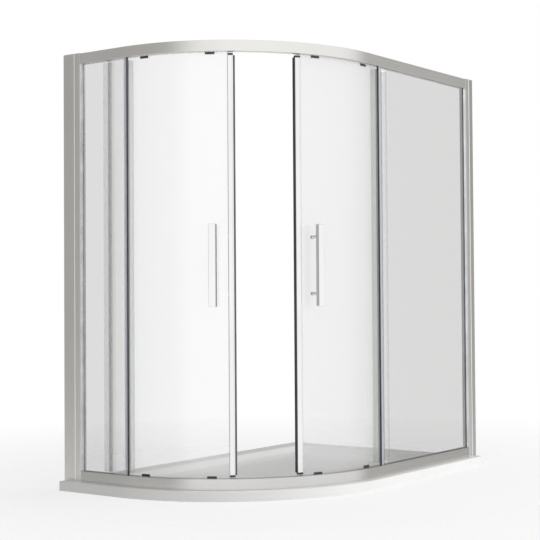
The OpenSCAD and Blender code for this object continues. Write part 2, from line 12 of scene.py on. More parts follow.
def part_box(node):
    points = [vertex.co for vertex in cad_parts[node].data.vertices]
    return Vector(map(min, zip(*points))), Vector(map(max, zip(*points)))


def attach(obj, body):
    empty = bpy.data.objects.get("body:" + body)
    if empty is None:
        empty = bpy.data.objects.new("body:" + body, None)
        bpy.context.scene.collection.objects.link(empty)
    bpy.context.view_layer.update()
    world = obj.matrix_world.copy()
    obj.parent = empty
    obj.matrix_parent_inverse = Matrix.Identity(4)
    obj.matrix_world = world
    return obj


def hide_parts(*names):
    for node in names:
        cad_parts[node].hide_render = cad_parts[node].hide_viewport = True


bl_info = {
    "name": "Quadrant Shower Enclosure",
    "version": (1, 0, 0),
    "blender": (4, 5, 0),
    "location": "3D View > Sidebar > Enclosure",
    "description": "Finishes and detailed pieces for an offset quadrant shower enclosure",
    "category": "Add Mesh",
}

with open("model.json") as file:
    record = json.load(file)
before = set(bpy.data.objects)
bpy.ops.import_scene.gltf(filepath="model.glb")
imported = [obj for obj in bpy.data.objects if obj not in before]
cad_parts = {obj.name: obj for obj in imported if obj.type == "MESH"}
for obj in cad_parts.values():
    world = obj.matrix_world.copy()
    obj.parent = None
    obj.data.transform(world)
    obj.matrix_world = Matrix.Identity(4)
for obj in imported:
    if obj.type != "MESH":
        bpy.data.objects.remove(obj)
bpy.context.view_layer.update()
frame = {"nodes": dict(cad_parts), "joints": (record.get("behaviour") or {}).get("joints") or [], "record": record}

HANDS = {"left": -1, "right": 1}
QUARTER = math.pi / 2
# How far a point may lie from a place and still count as on it
NEAR = 1e-4
# Angles between two faces, in radians, from which their edge is a fold and a sharp fold
FOLD, SHARP_FOLD = 0.3, 1.1
# Edges that fold by more than this are rounded where a whole piece is
ROUNDED_FOLD = math.radians(35)
# The upright axis of the front curve, which the doors turn about
ARC = Vector(next(j["pos_m"] for j in frame["joints"] if j["name"] == "door_left_roll"))
TRAY_LOW, TRAY_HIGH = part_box("shower_tray")
RAIL_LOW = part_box("top_rail")[0]
RAIL_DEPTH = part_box("panel_profile_left")[1].x - RAIL_LOW.x
LOW_RAIL_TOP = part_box("bottom_rail")[1].z
HIGH_RAIL_BOTTOM = RAIL_LOW.z
# Distances from the curve's axis: the door glass's outer face and middle, and a handle bar's back
GLASS_FACE, GLASS_MIDDLE, BAR_BACK = 0.7115, 0.7085, 0.7615
HANDLE_HEIGHTS = (0.841, 1.079)


# Sizes and colours that a user would change


class EnclosureSizes(bpy.types.PropertyGroup):
    """Roundings and small forms that the solids leave plain."""

    tray_edge: FloatProperty(
        name="Tray edge",
        description="Rounding of the tray's outer rim",
        default=0.004,
        unit="LENGTH",
    )
    basin_lip: FloatProperty(
        name="Basin lip",
        description="Rounding where the rim turns down into the basin",
        default=0.008,
        unit="LENGTH",
    )
    basin_cove: FloatProperty(
        name="Basin cove",
        description="Rounding where the basin's side meets its floor",
        default=0.016,
        unit="LENGTH",
    )
    basin_corner: FloatProperty(
        name="Basin corner",
        description="Rounding of the basin's square corners",
        default=0.05,
        unit="LENGTH",
    )
    tray_corner: FloatProperty(
        name="Tray corner",
        description="Rounding of the tray's corner in the corner of the room",
        default=0.03,
        unit="LENGTH",
    )
    rail_edge: FloatProperty(
        name="Rail edge",
        description="Rounding of the rails' long edges",
        default=0.0012,
        unit="LENGTH",
    )
    stile_edge: FloatProperty(
        name="Stile edge",
        description="Rounding of the door stiles' long edges",
        default=0.004,
        unit="LENGTH",
    )
    handle_edge: FloatProperty(
        name="Handle edge",
        description="Rounding of the handle bars' edges",
        default=0.0015,
        unit="LENGTH",
    )


class EnclosureColours(bpy.types.PropertyGroup):
    """Base colours of the finishes."""

    aluminium: FloatVectorProperty(
        name="Aluminium",
        description="Colour of the satin profiles and rails",
        subtype="COLOR",
        default=(0.82, 0.81, 0.79),
    )
    chrome: FloatVectorProperty(
        name="Chrome",
        description="Colour of the polished stiles, handles and caps",
        subtype="COLOR",
        default=(0.90, 0.90, 0.91),
    )
    tray: FloatVectorProperty(
        name="Tray",
        description="Colour of the tray's gloss resin",
        subtype="COLOR",
        default=(0.93, 0.93, 0.92),
    )
    rubber: FloatVectorProperty(
        name="Rubber",
        description="Colour of the gaskets, stops and magnetic seals",
        subtype="COLOR",
        default=(0.035, 0.035, 0.04),
    )
    moulded: FloatVectorProperty(
        name="Moulded parts",
        description="Colour of the wheels, carriers and stile caps",
        subtype="COLOR",
        default=(0.06, 0.06, 0.065),
    )


# Modelling by hand


def begin():
    """Leaves edit mode and deselects everything."""
    if bpy.context.object and bpy.context.object.mode != "OBJECT":
        bpy.ops.object.mode_set(mode="OBJECT")
    bpy.ops.object.select_all(action="DESELECT")


def edit():
    """Opens the active mesh with everything in it selected."""
    bpy.ops.object.mode_set(mode="EDIT")
    bpy.ops.mesh.select_mode(type="FACE")
    bpy.ops.mesh.select_all(action="SELECT")


def pick(kind, test):
    """Selects the open mesh's points, edges or faces that pass a test.

    The test gets a point's or a face's middle and normal, or an edge's middle, direction and fold.
    """
    mesh = bmesh.from_edit_mesh(bpy.context.object.data)
    bpy.ops.mesh.select_mode(type=kind)
    bpy.ops.mesh.select_all(action="DESELECT")
    if kind == "VERT":
        for point in mesh.verts:
            point.select = test(point.co, point.normal)
    elif kind == "EDGE":
        for line in mesh.edges:
            a, b = (v.co for v in line.verts)
            line.select = test((a + b) / 2, (b - a).normalized(), line.calc_face_angle(0.0))
    else:
        for face in mesh.faces:
            face.select = test(face.calc_center_median(), face.normal)
    mesh.select_flush_mode()
    bmesh.update_edit_mesh(bpy.context.object.data)


def close_up():
    """Merges doubled points, turns the faces outwards and leaves edit mode."""
    bpy.ops.mesh.select_all(action="SELECT")
    bpy.ops.mesh.remove_doubles(threshold=1e-6)
    bpy.ops.mesh.normals_make_consistent(inside=False)
    bpy.ops.object.mode_set(mode="OBJECT")


def upright(direction):
    """Whether an edge or a normal points nearly straight up or down."""
    return abs(direction.z) > 0.9


def round_off(test, width, segments):
    """Rounds the open mesh's edges that pass a test."""
    pick("EDGE", test)
    bpy.ops.mesh.bevel(offset=width, segments=segments, affect="EDGES")


def extrude(step):
    """Extrudes what is selected by a step."""
    bpy.ops.mesh.extrude_region_move(TRANSFORM_OT_translate={"value": step})


def apply_modifier(piece, kind, **values):
    """Adds a modifier with these values and applies it."""
    modifier = piece.modifiers.new(kind.title(), kind)
    for name, value in values.items():
        setattr(modifier, name, value)
    bpy.ops.object.modifier_apply(modifier=modifier.name)


def soften(piece, width=0, segments=1, smooth=40):
    """Rounds the sharp edges if a width is given, and shades smoothly over folds up to an angle."""
    if width:
        apply_modifier(
            piece,
            "BEVEL",
            width=width,
            segments=segments,
            limit_method="ANGLE",
            angle_limit=ROUNDED_FOLD,
        )
    bpy.ops.object.shade_smooth_by_angle(angle=math.radians(smooth))
    apply_modifier(piece, "WEIGHTED_NORMAL", keep_sharp=True)


def put(piece, place):
    """Moves the piece to its place and leaves its object at the origin."""
    bpy.ops.object.select_all(action="DESELECT")
    piece.select_set(True)
    bpy.context.view_layer.objects.active = piece
    piece.matrix_world = place
    bpy.ops.object.transform_apply(location=True, rotation=True, scale=True)


def named(name):
    """Names the active object and its mesh."""
    piece = bpy.context.object
    piece.name = name
    piece.data.name = name
    return piece


def block(name, low, high):
    """Starts a piece as a box from its lowest to its highest corner, open in edit mode."""
    begin()
    low, high = Vector(low), Vector(high)
    bpy.ops.mesh.primitive_cube_add(size=1, location=(low + high) / 2, scale=high - low)
    piece = named(name)
    bpy.ops.object.transform_apply(location=True, rotation=True, scale=True)
    edit()
    return piece


def sheet(name, centre, width, depth, rotation=(0, 0, 0)):
    """Starts a piece as a flat rectangle round its centre, open in edit mode."""
    begin()
    bpy.ops.mesh.primitive_plane_add(size=1, location=centre, rotation=rotation)
    piece = named(name)
    piece.scale = (width, depth, 1)
    bpy.ops.object.transform_apply(location=True, rotation=True, scale=True)
    edit()
    return piece


def turned(name, outline, steps):
    """Turns an outline of (radius, height) points round Z."""
    begin()
    bpy.ops.mesh.primitive_plane_add(size=0.01)
    piece = named(name)
    edit()
    bpy.ops.mesh.select_mode(type="VERT")
    bpy.ops.mesh.merge(type="CENTER")
    here = Vector((0, 0, 0))
    for index, (radius, height) in enumerate(outline):
        there = Vector((radius, 0, height))
        if index:
            extrude(there - here)
        else:
            bpy.ops.transform.translate(value=there)
        here = there
    bpy.ops.mesh.select_all(action="SELECT")
    bpy.ops.mesh.spin(steps=steps, angle=2 * math.pi, center=(0, 0, 0), axis=(0, 0, 1))
    close_up()
    return piece


def joined(name, pieces):
    """Makes several meshes one piece."""
    begin()
    for piece in pieces:
        piece.select_set(True)
    bpy.context.view_layer.objects.active = pieces[0]
    bpy.ops.object.join()
    return named(name)


def copied(piece, name):
    """A copy with its own mesh."""
    twin = piece.copy()
    twin.data = piece.data.copy()
    bpy.context.scene.collection.objects.link(twin)
    twin.name = name
    twin.data.name = name
    return twin


def cut_out(piece, cutter):
    """Cuts a shape out of the piece and deletes the shape."""
    begin()
    bpy.context.view_layer.objects.active = piece
    piece.select_set(True)
    apply_modifier(piece, "BOOLEAN", operation="DIFFERENCE", object=cutter)
    bpy.data.objects.remove(cutter)


def outward(angle, radius, height):
    """A place at an angle and a radius about the curve's axis, with its own Z pointing outwards."""
    spot = Vector((ARC.x + radius * math.cos(angle), ARC.y + radius * math.sin(angle), height))
    return Matrix.Translation(spot) @ Euler((0, QUARTER, angle)).to_matrix().to_4x4()


def facing(angle):
    """The frame of a door piece: X out of the curve and Y round it, about the axis of the curve."""
    return Matrix.Translation((ARC.x, ARC.y, 0)) @ Matrix.Rotation(angle, 4, "Z")


def angle_of(point):
    """A point's angle about the curve's axis, in radians."""
    return math.atan2(point.y - ARC.y, point.x - ARC.x)


def sweep(node):
    """The least and the greatest angle about the curve's axis of a node's points."""
    angles = [angle_of(v.co) % (2 * math.pi) for v in frame["nodes"][node].data.vertices]
    return min(angles), max(angles)


def leading_angle(hand):
    """The angle about the curve's axis of a door's leading edge, at its magnetic seal's tip."""
    start, end = sweep(f"magnetic_seal_{hand}")
    return end if hand == "left" else start


def middle(node):
    """The middle of a node's box."""
    low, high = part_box(node)
    return (low + high) / 2


def free_edge(part, hand):
    """The axis from a fixed piece's free edge towards its wall, and the edge's place on it."""
    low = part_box(f"{part}_{hand}")[0]
    return ("Y", low.y) if hand == "left" else ("X", low.x)


def finish(piece, material, slot, body, *nodes):
    """Gives a piece its material, hangs it on its body's empty and hides the nodes that it stands for."""
    piece.data.materials.clear()
    piece.data.materials.append(material)
    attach(piece, body)
    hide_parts(*nodes)


# Finishes


def new_finish(name, **values):
    """A material whose even values stand on its shader's own sockets."""
    material = bpy.data.materials.new(name)
    material.use_nodes = True
    shader = material.node_tree.nodes["Principled BSDF"]
    for socket, value in values.items():
        shader.inputs[socket.replace("_", " ")].default_value = value
    return material, shader


def add_node(material, kind, **values):
    """Adds a node with these settings to the material, or to the world."""
    node = material.node_tree.nodes.new(kind)
    for name, value in values.items():
        setattr(node, name, value)
    return node


def link(material, source, target):
    """Links an output to an input."""
    material.node_tree.links.new(source, target)


def noise(material, scale, stretch=(1, 1, 1), detail=4.0):
    """Noise on the object's own coordinates."""
    place = add_node(material, "ShaderNodeTexCoord")
    mapping = add_node(material, "ShaderNodeMapping")
    mapping.inputs["Scale"].default_value = stretch
    texture = add_node(material, "ShaderNodeTexNoise")
    texture.inputs["Scale"].default_value = scale
    texture.inputs["Detail"].default_value = detail
    link(material, place.outputs["Object"], mapping.inputs["Vector"])
    link(material, mapping.outputs["Vector"], texture.inputs["Vector"])
    return texture.outputs["Fac"]


def between(material, source, low, high, start=0.3, end=0.7):
    """Maps a value from start to end on to low to high."""
    spread = add_node(material, "ShaderNodeMapRange")
    for name, value in (("From Min", start), ("From Max", end), ("To Min", low), ("To Max", high)):
        spread.inputs[name].default_value = value
    link(material, source, spread.inputs["Value"])
    return spread.outputs["Result"]


def ramp(material, source, colours, interpolation="LINEAR"):
    """Turns a value from 0 to 1 into a colour, by the colours at its stops."""
    node = add_node(material, "ShaderNodeValToRGB")
    node.color_ramp.interpolation = interpolation
    stops = node.color_ramp.elements
    while len(stops) < len(colours):
        stops.new(0.5)
    for stop, (place, colour) in zip(stops, colours.items()):
        stop.position, stop.color = place, (*colour, 1)
    link(material, source, node.inputs["Fac"])
    return node.outputs["Color"]


def blend_colours(material, source, low, high, start=0.3, end=0.7):
    """Blends two colours by a value from start to end."""
    return ramp(material, source, {start: low, end: high})


def mix_shaders(material, share, first, second):
    """Mixes two shaders by the share of the second, which is a number or an output."""
    mix = add_node(material, "ShaderNodeMixShader")
    if isinstance(share, bpy.types.NodeSocket):
        link(material, share, mix.inputs["Fac"])
    else:
        mix.inputs["Fac"].default_value = share
    link(material, first, mix.inputs[1])
    link(material, second, mix.inputs[2])
    return mix.outputs["Shader"]


def show(material, surface):
    """Makes a shader the material's surface."""
    link(material, surface, material.node_tree.nodes["Material Output"].inputs["Surface"])


def cover(material, shader, share):
    """Lets the shader cover a share of the surface, and leaves the rest see-through."""
    bare = add_node(material, "ShaderNodeBsdfTransparent")
    show(material, mix_shaders(material, share, bare.outputs["BSDF"], shader.outputs["BSDF"]))


def shade(colour, share):
    """A colour made darker or lighter by a share of its own."""
    return tuple(min(1.0, channel * share) for channel in colour)


def bump(material, shader, source, distance, strength=0.3):
    """Roughens the shader's surface by a value, over a distance."""
    node = add_node(material, "ShaderNodeBump")
    node.inputs["Distance"].default_value = distance
    node.inputs["Strength"].default_value = strength
    link(material, source, node.inputs["Height"])
    link(material, node.outputs["Normal"], shader.inputs["Normal"])


def along(material, axis, start, end):
    """How far a point lies from start to end along one of the object's axes, 0 to 1."""
    place = add_node(material, "ShaderNodeTexCoord")
    parts = add_node(material, "ShaderNodeSeparateXYZ")
    link(material, place.outputs["Object"], parts.inputs[0])
    return between(material, parts.outputs[axis], 0.0, 1.0, start, end)


def pale_edge(material, colour, axis, edge, width, fade):
    """The colour, nearly white up to a width from an edge and fading till fade widths from it."""
    depth = along(material, axis, edge + width, edge + width * fade)
    mixed = add_node(material, "ShaderNodeMix", data_type="RGBA")
    mixed.inputs["A"].default_value = (0.97, 0.97, 0.97, 1)
    link(material, depth, mixed.inputs["Factor"])
    link(material, colour, mixed.inputs["B"])
    return mixed.outputs["Result"]


def metal(name, colour, rough, grain_scale, grain_stretch, grain_depth, polished=None):
    """Metal with drawing lines along the profile and a faint cloudiness.

    It has a painted highlight near one edge, where that is given as an axis, the edge's place and a width: its
    colour turns nearly white there.
    """
    material, shader = new_finish(name, Metallic=1.0)
    grain = noise(material, grain_scale, grain_stretch, detail=6.0)
    cloud = noise(material, 3.0, detail=3.0)
    tint = blend_colours(material, cloud, shade(colour, 0.96), shade(colour, 1.03))
    # Painted highlight: the colour turns nearly white near the given edge
    if polished:
        tint = pale_edge(material, tint, *polished, fade=1.05)
    link(material, tint, shader.inputs["Base Color"])
    link(material, between(material, grain, *rough), shader.inputs["Roughness"])
    bump(material, shader, grain, grain_depth)
    return material


def satin(name, colour, grain, rough=(0.26, 0.34), polished=None):
    """Drawn aluminium, whose grain is stretched along the profile."""
    return metal(name, colour, rough, 60.0, grain, 0.0001, polished)


def moulded(name, colour, rough, depth):
    """Moulded plastic or rubber with a fine matt texture."""
    material, shader = new_finish(name, Metallic=0.0)
    texture = noise(material, 900.0, detail=2.0)
    cloud = noise(material, 12.0, detail=3.0)
    tint = blend_colours(material, cloud, shade(colour, 0.85), shade(colour, 1.2))
    link(material, tint, shader.inputs["Base Color"])
    link(material, between(material, texture, *rough), shader.inputs["Roughness"])
    bump(material, shader, texture, depth)
    return material


def clear(name, straight_on, aslant, smear, paler=None, reflection_share=0):
    """Glass that darkens what is behind it more the more aslant it is seen, with faint smears.

    The glass is paler near one edge where that is given as an axis, the edge's place and a width.
    Its last value is the share of its surface that is a white diffuse film, a painted reflection
    that brightens what is seen through it.
    """
    material, shader = new_finish(name, Metallic=1.0, Base_Color=(0.97, 0.98, 0.98, 1))
    smears = noise(material, 5.0, (1, 1, 0.35), detail=5.0)
    link(material, between(material, smears, 0.01, smear), shader.inputs["Roughness"])
    weight = add_node(material, "ShaderNodeLayerWeight")
    weight.inputs["Blend"].default_value = 0.5
    tint = blend_colours(material, weight.outputs["Facing"], straight_on, aslant, 0.05, 0.35)
    if paler:
        tint = pale_edge(material, tint, *paler, fade=1.4)
    see_through = add_node(material, "ShaderNodeBsdfTransparent")
    link(material, tint, see_through.inputs["Color"])
    # A white diffuse film over a share of the glass: a painted reflection
    painted_reflection = add_node(material, "ShaderNodeBsdfDiffuse")
    painted_reflection.inputs["Color"].default_value = (1, 1, 1, 1)
    veiled = mix_shaders(material, reflection_share, see_through.outputs["BSDF"], painted_reflection.outputs["BSDF"])
    steep = add_node(material, "ShaderNodeMath", operation="POWER")
    steep.inputs[1].default_value = 5.0
    link(material, weight.outputs["Facing"], steep.inputs[0])
    gloss = between(material, steep.outputs["Value"], 0.04, 1.0, 0, 1)
    show(material, mix_shaders(material, gloss, veiled, shader.outputs["BSDF"]))
    return material


def edge_strip(name, axis, edge):
    """Sealing strip on a pane's free edge: grey fin, dark web round the edge and bluish legs."""
    material, shader = new_finish(name, Metallic=0.0)
    run = along(material, axis, edge - 0.012, edge + 0.015)
    # The fin's, the web's and the legs' tints and covers, at the places where each of them starts
    tints = {0.0: (0.70, 0.73, 0.70), 0.33: (0.045, 0.05, 0.055), 0.444: (0.62, 0.65, 0.72)}
    covers = {0.0: (0.42,) * 3, 0.33: (0.98,) * 3, 0.444: (0.42,) * 3}
    link(material, ramp(material, run, tints, "CONSTANT"), shader.inputs["Base Color"])
    cloud = noise(material, 30.0, (1, 1, 0.2), detail=3.0)
    link(material, between(material, cloud, 0.25, 0.4), shader.inputs["Roughness"])
    cover(material, shader, ramp(material, run, covers, "CONSTANT"))
    return material


def flexible(name):
    """Translucent sealing strip."""
    material, shader = new_finish(name, Metallic=0.0)
    cloud = noise(material, 30.0, (1, 1, 0.2), detail=3.0)
    tint = blend_colours(material, cloud, (0.84, 0.85, 0.86), (0.92, 0.93, 0.94))
    link(material, tint, shader.inputs["Base Color"])
    link(material, between(material, cloud, 0.25, 0.4), shader.inputs["Roughness"])
    cover(material, shader, 0.19)
    return material


def resin(name, colour):
    """Gloss white resin with a faint orange peel."""
    material, shader = new_finish(name, Metallic=0.0, Coat_Weight=0.4, Coat_Roughness=0.08)
    peel = noise(material, 160.0, detail=2.0)
    cloud = noise(material, 2.5, detail=3.0)
    tint = blend_colours(material, cloud, shade(colour, 0.97), shade(colour, 1.01))
    link(material, tint, shader.inputs["Base Color"])
    link(material, between(material, cloud, 0.28, 0.36), shader.inputs["Roughness"])
    bump(material, shader, peel, 0.0002, strength=0.15)
    return material


PANE_TINT = (0.87, 0.87, 0.87)
# How far the wall channels' lips reach back from their free edges, which is also the width of
# the painted highlight on them
LIP = 0.0034
# How the grain of drawn metal is stretched in a standing and in a lying profile
STANDING, LYING = (12, 12, 0.02), (0.02, 0.02, 12)
# The two sides' values, several of which paint light and shade: the share of the channel's colour
# (less on the right, a painted shade), the widths of the profile's painted highlight and the pane's
# pale edge, and the door glass's tint straight on and aslant (darker on the right, a painted shade)
# and the share of it that is a white film, a painted reflection
SIDES = {
    "left": (1.0, 0.004, 0.065, 1.0, 0.95, 0.106),
    "right": (0.84, 0.006, 0.05, 0.95, 0.9, 0.163),
}
FINISHES = {}


class FinishesOperator(bpy.types.Operator):
    """Makes the finishes and gives each carried-over solid its own."""

    bl_idname = "enclosure.finishes"
    bl_label = "Finishes"

    def side(self, hand, aluminium):
        """The finishes of one side: painted highlights near the free edges of its channel and profile, a pane that
        is paler near its free edge, painted shade on the right channel and door glass, and a painted reflection on
        the door glass.
        """
        channel_shade, highlight_width, pale, straight_on, aslant, reflection_share = SIDES[hand]
        # Painted highlights near the free edges of the channel's lip and of the profile
        channel_lip_highlight = (*free_edge("wall_channel", hand), LIP)
        profile_edge_highlight = (*free_edge("panel_profile", hand), highlight_width)
        pane_edge = free_edge("fixed_glass", hand)
        return {
            # The channel's colour times its share: the right channel is painted darker, a painted shade
            f"channel_{hand}": satin(
                f"satin_channel_{hand}", shade(aluminium, channel_shade), STANDING, polished=channel_lip_highlight
            ),
            f"profile_{hand}": satin(
                f"satin_profile_{hand}", aluminium, STANDING, polished=profile_edge_highlight
            ),
            f"pane_{hand}": clear(
                f"clear_pane_{hand}", PANE_TINT, PANE_TINT, 0.05, paler=(*pane_edge, pale)
            ),
            f"strip_{hand}": edge_strip(f"strip_{hand}", *pane_edge),
            # Painted shade: the right door's glass is tinted darker; both doors carry a white film, a painted
            # reflection
            f"door_{hand}": clear(
                f"clear_door_{hand}", (straight_on,) * 3, (aslant,) * 3, 0.04, reflection_share=reflection_share
            ),
        }

    def execute(self, context):
        colours = context.scene.enclosure_colours
        aluminium, chrome = tuple(colours.aluminium), tuple(colours.chrome)
        FINISHES.update(
            **self.side("left", aluminium),
            **self.side("right", aluminium),
            rail=satin("satin_rail", aluminium, LYING),
            # Painted shade: the low rail's colour is 0.85 of the top rail's; it is also glossier
            low_rail=satin("satin_low_rail", shade(aluminium, 0.85), LYING, (0.13, 0.19)),
            post=satin("satin_post", aluminium, STANDING),
            chrome=metal("polished_chrome", chrome, (0.05, 0.09), 8.0, (1, 1, 1), 0.00002),
            steel=metal("screw_steel", (0.6, 0.6, 0.6), (0.25, 0.4), 400.0, (1, 1, 1), 0.0001),
            rubber=moulded("dark_rubber", tuple(colours.rubber), (0.5, 0.65), 0.0001),
            soft_magnet=moulded("grey_magnet", (0.13, 0.13, 0.13), (0.5, 0.65), 0.0001),
            moulded=moulded("dark_nylon", tuple(colours.moulded), (0.35, 0.5), 0.0001),
            seal=flexible("clear_seal"),
            gasket=moulded("grey_gasket", (0.62, 0.64, 0.66), (0.2, 0.3), 0.0001),
            # Painted light: the left gasket is painted lighter than the right one
            pale_gasket=moulded("pale_gasket", (0.84, 0.87, 0.9), (0.2, 0.3), 0.0001),
            tray=resin("gloss_resin", tuple(colours.tray)),
        )
        by_slot = {
            "aluminium": "post",
            "chrome": "chrome",
            "steel": "steel",
            "rubber": "rubber",
            "nylon": "moulded",
            "clear_seal": "seal",
            "tray": "tray",
        }
        special = {
            "fixed_glass_left": "pane_left",
            "fixed_glass_right": "pane_right",
            "panel_profile_left": "profile_left",
            "panel_profile_right": "profile_right",
            "door_glass_left": "door_left",
            "door_glass_right": "door_right",
            "pane_seal_left": "strip_left",
            "pane_seal_right": "strip_right",
            "top_rail": "rail",
            "bottom_rail": "rail",
            # The left gasket's lighter grey is painted light
            "glazing_gasket_left": "pale_gasket",
            "glazing_gasket_right": "gasket",
        }
        for part in frame["record"]["subparts"]:
            node = part["node"]
            name = special.get(node) or by_slot[part["material_slot"]]
            mesh = frame["nodes"][node].data
            mesh.materials.clear()
            mesh.materials.append(FINISHES[name])
        return {"FINISHED"}


# Pieces

# The waste's hole: its radius, the height of its step and the play round the flange
HOLE_RADIUS, HOLE_STEP, HOLE_PLAY = 0.045, 0.009, 0.0003
# Heights from which and to which a cutter goes through the tray
CUT_FROM, CUT_TO = -0.01, 0.03


def tray_inset(point):
    """How far inside the tray's outline a point lies."""
    radius = ARC.x - TRAY_LOW.x
    if point.x < ARC.x and point.y < ARC.y:
        return radius - math.hypot(point.x - ARC.x, point.y - ARC.y)
    return min(
        point.x - TRAY_LOW.x, TRAY_HIGH.x - point.x, point.y - TRAY_LOW.y, TRAY_HIGH.y - point.y
    )


class TrayOperator(bpy.types.Operator):
    """Models the tray with its rounded rim and basin."""

    bl_idname = "enclosure.tray"
    bl_label = "Shower tray"

    rim_width: FloatProperty(name="Rim width", default=0.1, unit="LENGTH")
    basin_slope: FloatProperty(name="Basin slope", default=0.05, unit="LENGTH")
    basin_depth: FloatProperty(name="Basin depth", default=0.026, unit="LENGTH")
    outer_corner: FloatProperty(name="Outer corner", default=0.012, unit="LENGTH")

    def waste_hole(self):
        """A shape that cuts the waste's stepped hole."""
        low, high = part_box("waste_flange")
        seat = (high.x - low.x) / 2 + HOLE_PLAY
        outline = [(0, CUT_FROM), (HOLE_RADIUS, CUT_FROM), (HOLE_RADIUS, HOLE_STEP)]
        outline += [(seat, HOLE_STEP), (seat, CUT_TO), (0, CUT_TO)]
        cutter = turned("waste_cutter", outline, steps=64)
        spot = middle("waste_flange")
        put(cutter, Matrix.Translation((spot.x, spot.y, 0)))
        return cutter

    def execute(self, context):
        sizes = context.scene.enclosure_sizes
        height = TRAY_HIGH.z
        floor = height - self.basin_depth
        slope_start, slope_end = self.rim_width, self.rim_width + self.basin_slope
        room_corner = TRAY_HIGH.x + TRAY_HIGH.y
        centre = (TRAY_LOW + TRAY_HIGH) * 0.5 * Vector((1, 1, 0))
        piece = sheet("tray_body", centre, TRAY_HIGH.x - TRAY_LOW.x, TRAY_HIGH.y - TRAY_LOW.y)
        pick("VERT", lambda p, n: p.x < 0 and p.y < 0)
        bpy.ops.mesh.bevel(
            offset_type="OFFSET",
            offset=ARC.x - TRAY_LOW.x,
            segments=64,
            affect="VERTICES",
            clamp_overlap=False,
        )
        bpy.ops.mesh.select_all(action="SELECT")
        extrude((0, 0, height))
        pick("FACE", lambda p, n: abs(p.z - height) < NEAR and upright(n))
        bpy.ops.mesh.inset(thickness=self.rim_width)
        bpy.ops.mesh.inset(thickness=self.basin_slope, depth=-self.basin_depth)
        bpy.ops.mesh.select_all(action="SELECT")
        bpy.ops.mesh.normals_make_consistent(inside=False)

        def down_slope(p, d, fold):
            level = abs(d.z) < 0.1
            return not level and slope_start < tray_inset(p) < slope_end and fold > FOLD

        def at_room_corner(p, d, fold):
            return upright(d) and p.x + p.y > room_corner - NEAR

        def on_rim(p):
            return abs(p.z - height) < NEAR

        round_off(down_slope, sizes.basin_corner, 8)
        round_off(at_room_corner, sizes.tray_corner, 8)
        round_off(lambda p, d, fold: upright(d) and fold > SHARP_FOLD, self.outer_corner, 5)
        round_off(lambda p, d, fold: abs(p.z - floor) < NEAR and fold > FOLD, sizes.basin_cove, 4)
        round_off(lambda p, d, fold: on_rim(p) and FOLD < fold < SHARP_FOLD, sizes.basin_lip, 4)
        round_off(lambda p, d, fold: on_rim(p) and fold > SHARP_FOLD, sizes.tray_edge, 4)
        close_up()
        cut_out(piece, self.waste_hole())
        soften(piece)
        finish(piece, FINISHES["tray"], "tray", "root", "shower_tray")
        return {"FINISHED"}


# Heights over a channel's foot of the wall screws' holes and of the joining screws' covers
WALL_HOLE_HEIGHTS = (0.16, 0.67, 1.18, 1.69)
COVER_HEIGHTS = (0.08, 0.925, 1.77)
# The drill for the wall screws' holes: its radius and length
DRILL_RADIUS, DRILL_LENGTH = 0.0025, 0.008
# Outline of a screw's cover as (radius, height)
COVER = [
    (0, 0.005), (0.0038, 0.005), (0.0052, 0.0045), (0.006, 0.0032), (0.006, 0.0001),
    (0.0043, 0.0001), (0.0043, 0.0027), (0, 0.0027),
]
# Folds up to this many degrees are shaded smoothly on a channel. Its lip slopes by more, so that it
# catches the light as a line of its own.
CHANNEL_SMOOTH = 18


